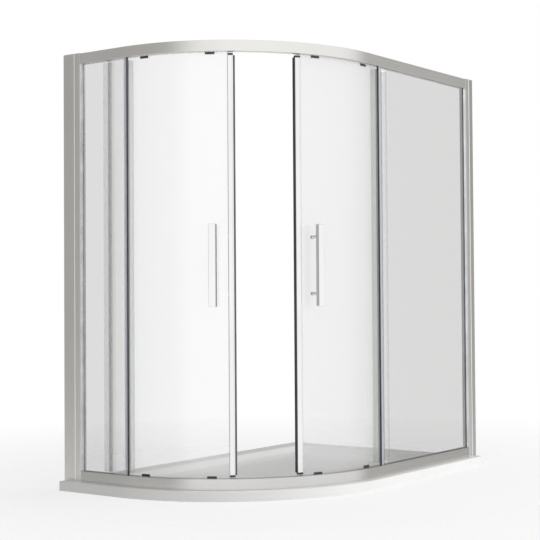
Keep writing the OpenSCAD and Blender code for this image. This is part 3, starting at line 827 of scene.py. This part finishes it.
class PostsOperator(bpy.types.Operator):
    """Models the wall channels with their lips and holes, the screw covers and the posts' caps."""

    bl_idname = "enclosure.posts"
    bl_label = "Posts"

    skin: FloatProperty(name="Wall", default=0.0016, unit="LENGTH")
    lip: FloatProperty(name="Lip", default=LIP, unit="LENGTH")
    lip_fall: FloatProperty(name="Lip fall", default=0.0014, unit="LENGTH")
    edge: FloatProperty(name="Edge rounding", default=0.0005, unit="LENGTH")
    screw_set_back: FloatProperty(name="Screw set-back", default=0.012, unit="LENGTH")
    cap_corner: FloatProperty(name="Cap corner", default=0.002, unit="LENGTH")
    cap_edge: FloatProperty(name="Cap edge", default=0.0011, unit="LENGTH")

    def channel(self, hand):
        """Models one channel and gives back its screws' covers.

        Across points inwards from its outer face, and away points from the wall to its free edge.
        """
        node = f"wall_channel_{hand}"
        low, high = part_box(node)
        if hand == "left":
            base, across, away = (low.x, high.y, low.z), (1, 0, 0), (0, -1, 0)
        else:
            base, across, away = (high.x, low.y, low.z), (0, 1, 0), (-1, 0, 0)
        base, across, away = Vector(base), Vector(across), Vector(away)
        width, depth = abs((high - low).dot(across)), abs((high - low).dot(away))
        centre = (*((low + high) / 2).xy, low.z)
        piece = sheet(f"post_channel_{hand}", centre, high.x - low.x, high.y - low.y)
        for direction, distance in (
            (across, self.skin),
            (across, width - self.skin),
            (away, self.skin),
            (away, depth - self.lip),
        ):
            bpy.ops.mesh.select_all(action="SELECT")
            bpy.ops.mesh.bisect(plane_co=base + direction * distance, plane_no=direction)

        def hollow(p, n):
            inset, run = (p - base).dot(across), (p - base).dot(away)
            return self.skin < inset < width - self.skin and run > self.skin

        def lip_tip(p, n):
            return (p - base).dot(across) < NEAR and (p - base).dot(away) > depth - NEAR

        pick("FACE", hollow)
        bpy.ops.mesh.delete(type="FACE")
        pick("VERT", lip_tip)
        bpy.ops.transform.translate(value=across * self.lip_fall)
        bpy.ops.mesh.select_all(action="SELECT")
        extrude((0, 0, high.z - low.z))
        close_up()
        soften(piece, self.edge, segments=2, smooth=CHANNEL_SMOOTH)
        drills = []
        for height in WALL_HOLE_HEIGHTS:
            begin()
            bpy.ops.mesh.primitive_cylinder_add(
                vertices=24,
                radius=DRILL_RADIUS,
                depth=DRILL_LENGTH,
                location=base + across * width / 2 + Vector((0, 0, height)),
                rotation=away.to_track_quat("Z", "Y").to_euler(),
            )
            drills.append(bpy.context.object)
        cut_out(piece, joined("wall_drill", drills))
        soften(piece, smooth=CHANNEL_SMOOTH)
        finish(piece, FINISHES[f"channel_{hand}"], "aluminium", "root", node)
        covers = []
        for height in COVER_HEIGHTS:
            cover_cap = turned("cover", COVER, steps=32)
            spot = base + across * width + away * (depth - self.screw_set_back)
            turn = across.to_track_quat("Z", "Y").to_matrix().to_4x4()
            put(cover_cap, Matrix.Translation(spot + Vector((0, 0, height))) @ turn)
            covers.append(cover_cap)
        return covers

    def cap(self, hand):
        """Models the plate that closes one channel and its profile."""
        outer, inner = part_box(f"wall_channel_{hand}"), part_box(f"panel_profile_{hand}")
        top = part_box("post_caps")[1].z
        low = Vector((min(outer[0].x, inner[0].x), min(outer[0].y, inner[0].y), outer[1].z))
        plate = block(f"cap_{hand}", low, (*outer[1].xy, top))
        round_off(lambda p, d, fold: upright(d), self.cap_corner, 3)
        round_off(lambda p, d, fold: abs(p.z - top) < NEAR, self.cap_edge, 3)
        close_up()
        return plate

    def execute(self, context):
        piece = joined("screw_covers", self.channel("left") + self.channel("right"))
        soften(piece)
        finish(piece, FINISHES["post"], "aluminium", "root", "screw_caps")
        piece = joined("post_cap_plates", [self.cap(hand) for hand in HANDS])
        soften(piece)
        finish(piece, FINISHES["post"], "aluminium", "root", "post_caps")
        return {"FINISHED"}


# The rails' section, measured from its outer face and from its open side: the sides of the glass
# groove, the outer side and the edge of the wheels' track, and where the slot behind it starts and
# how far from the closed side it ends
GROOVE_START, GROOVE_END = 0.007, 0.015
TRACK_SIDE, TRACK_EDGE = 0.017, 0.0025
SLOT_START, SLOT_END = 0.0055, 0.006


class RailsOperator(bpy.types.Operator):
    """Sweeps the rails' section round the front curve and along both straights."""

    bl_idname = "enclosure.rails"
    bl_label = "Rails"

    groove: FloatProperty(name="Groove depth", default=0.012, unit="LENGTH")
    skin: FloatProperty(name="Wall", default=0.002, unit="LENGTH")

    def rail(self, context, node, open_z, into):
        """Models one rail, up from its open side's height if into is 1, and down if it is -1."""
        low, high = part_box(node)
        outer, left_end, right_end = low.x, high.y, high.x
        tall = high.z - low.z
        back, roof, slot_end = RAIL_DEPTH - self.skin, tall - self.skin, tall - SLOT_END
        centre = (outer + RAIL_DEPTH / 2, left_end, (low.z + high.z) / 2)
        piece = sheet(f"{node}_swept", centre, RAIL_DEPTH, tall, (QUARTER, 0, 0))
        for inset in (GROOVE_START, GROOVE_END, TRACK_SIDE, back):
            bpy.ops.mesh.select_all(action="SELECT")
            bpy.ops.mesh.bisect(plane_co=(outer + inset, left_end, low.z), plane_no=(1, 0, 0))
        for height in (TRACK_EDGE, SLOT_START, self.groove, slot_end, roof):
            bpy.ops.mesh.select_all(action="SELECT")
            bpy.ops.mesh.bisect(
                plane_co=(outer, left_end, open_z + into * height), plane_no=(0, 0, 1)
            )

        def hollow(p, n):
            inset, height = p.x - outer, (p.z - open_z) * into
            in_groove = GROOVE_START < inset < GROOVE_END and height < self.groove
            in_track = TRACK_SIDE < inset < back and TRACK_EDGE < height < roof
            in_slot = inset > back and SLOT_START < height < slot_end
            return in_groove or in_track or in_slot

        pick("FACE", hollow)
        bpy.ops.mesh.delete(type="FACE")
        bpy.ops.mesh.select_all(action="SELECT")
        bpy.ops.mesh.dissolve_limited(angle_limit=0.01)
        bpy.ops.mesh.select_all(action="SELECT")
        extrude((0, ARC.y - left_end, 0))
        bpy.ops.mesh.spin(steps=72, angle=QUARTER, center=(ARC.x, ARC.y, 0), axis=(0, 0, -1))
        extrude((right_end - ARC.x, 0, 0))
        close_up()
        soften(piece, context.scene.enclosure_sizes.rail_edge, segments=2)
        return piece

    def execute(self, context):
        piece = self.rail(context, "top_rail", HIGH_RAIL_BOTTOM, 1)
        finish(piece, FINISHES["rail"], "aluminium", "root", "top_rail")
        piece = self.rail(context, "bottom_rail", LOW_RAIL_TOP, -1)
        finish(piece, FINISHES["low_rail"], "aluminium", "root", "bottom_rail")
        return {"FINISHED"}


# Widths round the curve, from the tip of a door's magnetic seal
MAGNET_END, KEY_START, KEY_END, STILE_START, STILE_END = 0.0068, 0.0066, 0.0098, 0.007, 0.032
# Depths across the curve, with the middle of the door glass in their middle
MAGNET_DEPTH, KEY_DEPTH, STILE_DEPTH = 0.012, 0.0058, 0.018


def edge_bar(name, node, turn, start, end, depth):
    """Starts a bar as tall as a node, from one width round the curve to another."""
    low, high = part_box(node)
    first, last = sorted((turn * start, turn * end))
    return block(
        name,
        (GLASS_MIDDLE - depth / 2, first, low.z),
        (GLASS_MIDDLE + depth / 2, last, high.z),
    )


class StilesOperator(bpy.types.Operator):
    """Models the chrome stile on each door's leading edge, with rounded edges and a flute."""

    bl_idname = "enclosure.stiles"
    bl_label = "Door stiles"

    flute: FloatProperty(name="Flute depth", default=0.001, unit="LENGTH")
    flute_border: FloatProperty(name="Flute border", default=0.0012, unit="LENGTH")
    flute_side: FloatProperty(name="Flute side", default=0.0006, unit="LENGTH")

    def execute(self, context):
        rounding = context.scene.enclosure_sizes.stile_edge
        for hand, turn in HANDS.items():
            node = f"door_stile_{hand}"
            piece = edge_bar(f"stile_{hand}", node, turn, STILE_START, STILE_END, STILE_DEPTH)
            round_off(lambda p, d, fold: upright(d), rounding, 5)
            pick("FACE", lambda p, n: abs(n.x) > 0.99)
            bpy.ops.mesh.inset(thickness=self.flute_border, use_individual=True)
            bpy.ops.mesh.inset(thickness=self.flute_side, depth=-self.flute, use_individual=True)
            close_up()
            soften(piece)
            put(piece, facing(leading_angle(hand)))
            finish(piece, FINISHES["chrome"], "chrome", f"door_{hand}", node)
        return {"FINISHED"}


class FixedPanesOperator(bpy.types.Operator):
    """Models the flat panes with ground edges."""

    bl_idname = "enclosure.fixed_panes"
    bl_label = "Fixed panes"

    grind: FloatProperty(name="Ground edge", default=0.0008, unit="LENGTH")

    def execute(self, context):
        for hand in HANDS:
            node = f"fixed_glass_{hand}"
            piece = block(f"fixed_pane_{hand}", *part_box(node))
            close_up()
            soften(piece, self.grind, segments=2)
            finish(piece, FINISHES[f"pane_{hand}"], "glass", "root", node)
        return {"FINISHED"}


class MagnetsOperator(bpy.types.Operator):
    """Models the magnetic seals with a rounded nose and a key in the stile."""

    bl_idname = "enclosure.magnets"
    bl_label = "Magnetic seals"

    nose: FloatProperty(name="Nose rounding", default=0.003, unit="LENGTH")

    def execute(self, context):
        for hand, turn in HANDS.items():
            node = f"magnetic_seal_{hand}"
            body = edge_bar("magnet_body", node, turn, 0, MAGNET_END, MAGNET_DEPTH)
            round_off(lambda p, d, fold: upright(d) and abs(p.y) < NEAR, self.nose, 4)
            close_up()
            key = edge_bar("magnet_key", node, turn, KEY_START, KEY_END, KEY_DEPTH)
            close_up()
            piece = joined(f"magnet_strip_{hand}", [body, key])
            soften(piece)
            put(piece, facing(leading_angle(hand)))
            material = FINISHES["soft_magnet" if hand == "left" else "rubber"]
            finish(piece, material, "rubber", f"door_{hand}", node)
        return {"FINISHED"}


class DoorPanesOperator(bpy.types.Operator):
    """Spins each door's curved pane and grinds its edges."""

    bl_idname = "enclosure.door_panes"
    bl_label = "Door panes"

    radius: FloatProperty(name="Outer radius", default=GLASS_FACE, unit="LENGTH")
    thickness: FloatProperty(name="Thickness", default=0.006, unit="LENGTH")
    grind: FloatProperty(name="Ground edge", default=0.0006, unit="LENGTH")

    def execute(self, context):
        for hand in HANDS:
            node = f"door_glass_{hand}"
            low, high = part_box(node)
            start, end = sweep(node)
            centre = (self.radius - self.thickness / 2, 0, (low.z + high.z) / 2)
            tall = high.z - low.z
            piece = sheet(f"door_pane_{hand}", centre, self.thickness, tall, (QUARTER, 0, 0))
            bpy.ops.mesh.spin(steps=48, angle=end - start, center=(0, 0, 0), axis=(0, 0, -1))
            close_up()
            soften(piece, self.grind, segments=2)
            put(piece, facing(start))
            finish(piece, FINISHES[f"door_{hand}"], "glass", f"door_{hand}", node)
        return {"FINISHED"}


# Outlines of (radius, distance from the curve's axis)
HANDLE_POST = [
    (0, 0.7118), (0.0065, 0.7118), (0.007, 0.7123), (0.007, 0.7165), (0.0062, 0.717),
    (0.0062, 0.7175), (0.007, 0.718), (0.007, BAR_BACK), (0, BAR_BACK),
]
CAP = [
    (0, 0.7005), (0.0058, 0.7007), (0.0080, 0.7015), (0.0089, 0.7028), (0.009, 0.7052),
    (0.003, 0.7052),
]
HANDLE_BOLT = CAP + [(0.003, 0.7255), (0, 0.7255)]
CARRIER_BOLT = CAP + [
    (0.003, 0.7152), (0.005, 0.7152), (0.005, 0.7168), (0.0044, 0.7175), (0.0026, 0.7175),
    (0.0026, 0.7162), (0, 0.7162),
]


def row(name, outline, places, hand, node):
    """Turns an outline at each (angle, height) of a door and makes one chrome piece of them."""
    copies = []
    for index, (angle, height) in enumerate(places):
        copy = turned(f"{name}_{index}", outline, steps=40)
        put(copy, outward(angle, 0, height))
        copies.append(copy)
    piece = joined(name, copies)
    soften(piece)
    finish(piece, FINISHES["chrome"], "chrome", f"door_{hand}", node)


def handle_places(hand):
    """The (angle, height) of the handle's two posts on a door."""
    angle = angle_of(middle(f"handle_bar_{hand}"))
    return [(angle, height) for height in HANDLE_HEIGHTS]


class HandlesOperator(bpy.types.Operator):
    """Models the handle bars and their turned posts."""

    bl_idname = "enclosure.handles"
    bl_label = "Handles"

    width: FloatProperty(name="Width", default=0.033, unit="LENGTH")
    thickness: FloatProperty(name="Thickness", default=0.016, unit="LENGTH")
    bevel_width: FloatProperty(name="Bevel width", default=0.006, unit="LENGTH")
    bevel_depth: FloatProperty(name="Bevel depth", default=0.009, unit="LENGTH")

    def execute(self, context):
        edge = context.scene.enclosure_sizes.handle_edge
        for hand, turn in HANDS.items():
            bar = f"handle_bar_{hand}"
            low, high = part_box(bar)
            front, side = BAR_BACK + self.thickness, self.width / 2
            piece = block(f"handle_grip_{hand}", (BAR_BACK, -side, low.z), (front, side, high.z))
            line = Vector((front, -turn * (side - self.bevel_width), 0))
            bpy.ops.mesh.bisect(plane_co=line, plane_no=(0, 1, 0))
            pick("VERT", lambda p, n: p.x > front - NEAR and -turn * p.y > side - NEAR)
            bpy.ops.transform.translate(value=(-self.bevel_depth, 0, 0))
            close_up()
            soften(piece, edge, segments=4)
            put(piece, facing(angle_of(middle(bar))))
            finish(piece, FINISHES["chrome"], "chrome", f"door_{hand}", bar)
            stand, posts = f"handle_stand_{hand}", f"handle_posts_{hand}"
            row(stand, HANDLE_POST, handle_places(hand), hand, posts)
        return {"FINISHED"}


class FixingsOperator(bpy.types.Operator):
    """Turns the domed caps and bolts that hold the handles and carriers to the doors."""

    bl_idname = "enclosure.fixings"
    bl_label = "Fixings"

    def execute(self, context):
        for hand in HANDS:
            caps, bolts = f"handle_caps_{hand}", f"handle_fixings_{hand}"
            row(caps, HANDLE_BOLT, handle_places(hand), hand, bolts)
            places = []
            for level in ("top", "low"):
                for pair in ((1, 2), (3, 4)):
                    spots = [middle(f"wheel_{hand}_{level}_{index}") for index in pair]
                    spot = (spots[0] + spots[1]) / 2
                    places.append((angle_of(spot), spot.z))
            row(f"carrier_caps_{hand}", CARRIER_BOLT, places, hand, f"carrier_bolts_{hand}")
        return {"FINISHED"}


# Outlines of (radius, height): a wheel about its middle, and the waste's ring, cover and foot
WHEEL = [
    (0.00255, -0.0025), (0.0042, -0.0025), (0.0046, -0.0021), (0.0046, -0.0016), (0.0082, -0.0016),
    (0.0084, -0.0025), (0.0102, -0.0025), (0.011, -0.0017), (0.011, 0.0017), (0.0102, 0.0025),
    (0.0084, 0.0025), (0.0082, 0.0016), (0.0046, 0.0016), (0.0046, 0.0021), (0.0042, 0.0025),
    (0.00255, 0.0025), (0.00255, -0.0025),
]
RING = [
    (0.0407, 0.001), (0.0447, 0.001), (0.0447, 0.009), (0.0565, 0.009), (0.057, 0.0095),
    (0.057, 0.0113), (0.0563, 0.012), (0.043, 0.012), (0.0413, 0.0114), (0.0407, 0.0098),
    (0.0407, 0.001),
]
DOME = [
    (0, 0.0), (0.0512, 0.0), (0.052, 0.0007), (0.052, 0.0012), (0.0515, 0.0019), (0.049, 0.003),
    (0.036, 0.0040), (0.022, 0.0046), (0.010, 0.0049), (0, 0.005),
]
FOOT = [(0, 0), (0.0045, 0), (0.005, 0.0005), (0.005, 0.006), (0, 0.006)]
# Heights of the cover's edge and of its feet, and how far the feet stand from its middle
DOME_HEIGHT, FOOT_HEIGHT, FOOT_SPREAD = 0.017, 0.012, 0.046


class WheelsOperator(bpy.types.Operator):
    """Turns one wheel and sets a copy on each axle."""

    bl_idname = "enclosure.wheels"
    bl_label = "Wheels"

    def execute(self, context):
        pattern = turned("wheel_pattern", WHEEL, steps=40)
        soften(pattern)
        for hand in HANDS:
            for level in ("top", "low"):
                for index in range(1, 5):
                    node = f"wheel_{hand}_{level}_{index}"
                    spot = middle(node)
                    radius = math.hypot(spot.x - ARC.x, spot.y - ARC.y)
                    piece = copied(pattern, f"roller_{hand}_{level}_{index}")
                    put(piece, outward(angle_of(spot), radius, spot.z))
                    finish(piece, FINISHES["moulded"], "nylon", node, node)
        bpy.data.objects.remove(pattern)
        return {"FINISHED"}


class WasteOperator(bpy.types.Operator):
    """Turns the waste ring, and the domed cover and its feet."""

    bl_idname = "enclosure.waste"
    bl_label = "Waste cover"

    def execute(self, context):
        spot = middle("waste_cover")
        dome = turned("dome", DOME, steps=72)
        put(dome, Matrix.Translation((spot.x, spot.y, DOME_HEIGHT)))
        parts = [dome]
        for turn in (0, 120, 240):
            foot = turned("foot", FOOT, steps=24)
            place = Matrix.Translation((spot.x, spot.y, FOOT_HEIGHT))
            place @= Matrix.Rotation(math.radians(225 + turn), 4, "Z")
            put(foot, place @ Matrix.Translation((FOOT_SPREAD, 0, 0)))
            parts.append(foot)
        ring = turned("waste_ring", RING, steps=72)
        put(ring, Matrix.Translation((spot.x, spot.y, 0)))
        soften(ring)
        finish(ring, FINISHES["chrome"], "chrome", "root", "waste_flange")
        piece = joined("waste_dome", parts)
        soften(piece)
        finish(piece, FINISHES["chrome"], "chrome", "waste_cover", "waste_cover")
        return {"FINISHED"}


# Studio

# The camera: its place, its pitch, turn and roll in degrees, its lens in millimetres and its shift
CAMERA_PLACE = (-4.8547, -3.5806, 0.8420)
CAMERA_PITCH, CAMERA_TURN, CAMERA_ROLL = 91.46, -54.79, -0.43
CAMERA_LENS, CAMERA_SHIFT = 86.89, (-0.074, -0.018)
# Azimuths, in degrees, of the bright front that the object mirrors and of the light's bright side
MIRRORED_AZIMUTH, LIGHT_AZIMUTH = 249, 285
# Greys of both by how far a direction points to their azimuth, from 0 away from it to 1 to it
MIRRORED = {
    0.08: (0.06,) * 3,
    0.34: (0.46, 0.45, 0.43),
    0.635: (0.40, 0.39, 0.37),
    0.745: (1.0,) * 3,
}
LIGHT = {0.2: (0.19,) * 3, 0.5: (0.46,) * 3, 0.8: (0.92,) * 3}
# The least grey that is mirrored off the horizon and below it, and the slopes at which it sets in
# and is whole
OFF_HORIZON, OFF_SLOPES = 0.4, (0.05, 0.13)
BELOW_HORIZON, BELOW_SLOPES = 0.95, (-0.15, -0.175)
FLOOR_RADIUS, FLOOR_HEIGHT = 6, -0.0005
# The share of the white that the floor covers, and the distances between which it fades to none
FLOOR_COVER, FLOOR_FADE = 0.3, (1.1, 3.0)


def towards(world, degrees, colours):
    """Colours a direction by how far it points to an azimuth: away from it is 0 and to it is 1."""
    here = add_node(world, "ShaderNodeTexCoord")
    azimuth = math.radians(degrees)
    product = add_node(world, "ShaderNodeVectorMath", operation="DOT_PRODUCT")
    product.inputs[1].default_value = (math.cos(azimuth), math.sin(azimuth), 0)
    link(world, here.outputs["Generated"], product.inputs[0])
    share = between(world, product.outputs["Value"], 0, 1, -1, 1)
    return ramp(world, share, colours)


def background(world, colour):
    """A background in a colour that comes from an output."""
    node = add_node(world, "ShaderNodeBackground")
    link(world, colour, node.inputs["Color"])
    return node.outputs["Background"]


def reckon(world, operation, *sources):
    """The result of a Math node's operation on the values of outputs."""
    node = add_node(world, "ShaderNodeMath", operation=operation)
    for index, source in enumerate(sources):
        link(world, source, node.inputs[index])
    return node.outputs["Value"]


class StageOperator(bpy.types.Operator):
    """Sets the pale floor, the soft lights and the camera."""

    bl_idname = "enclosure.stage"
    bl_label = "Studio"

    def floor(self):
        """A round floor that fades out into the white behind it."""
        begin()
        bpy.ops.mesh.primitive_circle_add(
            vertices=96, radius=FLOOR_RADIUS, fill_type="NGON", location=(0, 0, FLOOR_HEIGHT)
        )
        ground = named("studio_floor")
        grey = (0.92, 0.92, 0.92, 1)
        material, shader = new_finish("pale_floor", Base_Color=grey, Roughness=0.7)
        place = add_node(material, "ShaderNodeTexCoord")
        reach = add_node(material, "ShaderNodeVectorMath", operation="LENGTH")
        link(material, place.outputs["Object"], reach.inputs[0])
        fade = between(material, reach.outputs["Value"], FLOOR_COVER, 0.0, *FLOOR_FADE)
        cover(material, shader, fade)
        ground.data.materials.append(material)

    def world(self, context):
        """White behind the object, a room for it to mirror, and light that comes from the right.

        The room has a bright front and darker sides. It is paler off the horizon and white below.
        """
        world = bpy.data.worlds.new("studio")
        context.scene.world = world
        world.use_nodes = True
        world.node_tree.nodes.clear()
        mirrored = towards(world, MIRRORED_AZIMUTH, MIRRORED)
        here = add_node(world, "ShaderNodeTexCoord")
        parts = add_node(world, "ShaderNodeSeparateXYZ")
        link(world, here.outputs["Generated"], parts.inputs[0])
        steep = reckon(world, "ABSOLUTE", parts.outputs["Z"])
        rise = between(world, steep, 0, OFF_HORIZON, *OFF_SLOPES)
        drop = between(world, parts.outputs["Z"], 0, BELOW_HORIZON, *BELOW_SLOPES)
        lighter = add_node(world, "ShaderNodeMix", data_type="RGBA", blend_type="LIGHTEN")
        lighter.inputs["Factor"].default_value = 1
        link(world, mirrored, lighter.inputs["A"])
        link(world, reckon(world, "MAXIMUM", rise, drop), lighter.inputs["B"])
        room = background(world, lighter.outputs["Result"])
        light = background(world, towards(world, LIGHT_AZIMUTH, LIGHT))
        white = add_node(world, "ShaderNodeBackground")
        white.inputs["Color"].default_value = (1, 1, 1, 1)
        rays = add_node(world, "ShaderNodeLightPath")
        unseen = mix_shaders(world, rays.outputs["Is Diffuse Ray"], room, light)
        seen = white.outputs["Background"]
        output = add_node(world, "ShaderNodeOutputWorld")
        surface = mix_shaders(world, rays.outputs["Is Camera Ray"], unseen, seen)
        link(world, surface, output.inputs["Surface"])

    def lamp(self, name, spot, target, size, power):
        """An area light at a spot, turned to a target, which nothing mirrors."""
        begin()
        turn = (Vector(target) - Vector(spot)).to_track_quat("-Z", "Y").to_euler()
        bpy.ops.object.light_add(type="AREA", location=spot, rotation=turn)
        lamp = bpy.context.object
        lamp.name = name
        lamp.data.shape = "RECTANGLE"
        lamp.data.size, lamp.data.size_y = size
        lamp.data.energy = power
        lamp.visible_glossy = False

    def camera(self, context):
        """The camera at the photograph's viewing angle."""
        aim = Euler((math.radians(CAMERA_PITCH), 0, math.radians(CAMERA_TURN))).to_quaternion()
        turn = aim @ Quaternion((0, 0, 1), math.radians(CAMERA_ROLL))
        begin()
        bpy.ops.object.camera_add(location=CAMERA_PLACE, rotation=turn.to_euler())
        camera = bpy.context.object
        camera.name = "photo_camera"
        camera.data.lens = CAMERA_LENS
        camera.data.shift_x, camera.data.shift_y = CAMERA_SHIFT
        camera.data.sensor_width = 36
        context.scene.camera = camera

    def execute(self, context):
        self.floor()
        self.world(context)
        self.lamp("overhead_softbox", (0.2, -0.4, 4.2), (0, 0, 0.5), (3.0, 2.4), 40)
        self.lamp("front_softbox", (2.4, -4.2, 2.2), (0, 0, 0.9), (2.2, 2.6), 56)
        self.camera(context)
        context.scene.view_settings.view_transform = "Standard"
        return {"FINISHED"}


class EnclosurePanel(bpy.types.Panel):
    """Lists the pieces in the order in which they are made."""

    bl_idname = "VIEW3D_PT_enclosure"
    bl_label = "Shower enclosure"
    bl_space_type = "VIEW_3D"
    bl_region_type = "UI"
    bl_category = "Enclosure"

    def draw(self, context):
        layout = self.layout
        for group in (context.scene.enclosure_sizes, context.scene.enclosure_colours):
            for name in group.bl_rna.properties.keys():
                if name not in ("name", "rna_type"):
                    layout.prop(group, name)
        for operator in OPERATORS:
            layout.operator(operator.bl_idname)


OPERATORS = (
    FinishesOperator,
    TrayOperator,
    PostsOperator,
    RailsOperator,
    FixedPanesOperator,
    StilesOperator,
    MagnetsOperator,
    DoorPanesOperator,
    HandlesOperator,
    FixingsOperator,
    WheelsOperator,
    WasteOperator,
    StageOperator,
)
CLASSES = (EnclosureSizes, EnclosureColours, *OPERATORS, EnclosurePanel)


def register():
    for made in CLASSES:
        bpy.utils.register_class(made)
    bpy.types.Scene.enclosure_sizes = PointerProperty(type=EnclosureSizes)
    bpy.types.Scene.enclosure_colours = PointerProperty(type=EnclosureColours)


def unregister():
    del bpy.types.Scene.enclosure_colours
    del bpy.types.Scene.enclosure_sizes
    for made in reversed(CLASSES):
        bpy.utils.unregister_class(made)


def main():
    register()
    for step in (
        bpy.ops.enclosure.finishes,
        bpy.ops.enclosure.tray,
        bpy.ops.enclosure.posts,
        bpy.ops.enclosure.rails,
        bpy.ops.enclosure.fixed_panes,
        bpy.ops.enclosure.stiles,
        bpy.ops.enclosure.magnets,
        bpy.ops.enclosure.door_panes,
        bpy.ops.enclosure.handles,
        bpy.ops.enclosure.fixings,
        bpy.ops.enclosure.wheels,
        bpy.ops.enclosure.waste,
        bpy.ops.enclosure.stage,
    ):
        step()


if __name__ == "__main__":
    main()
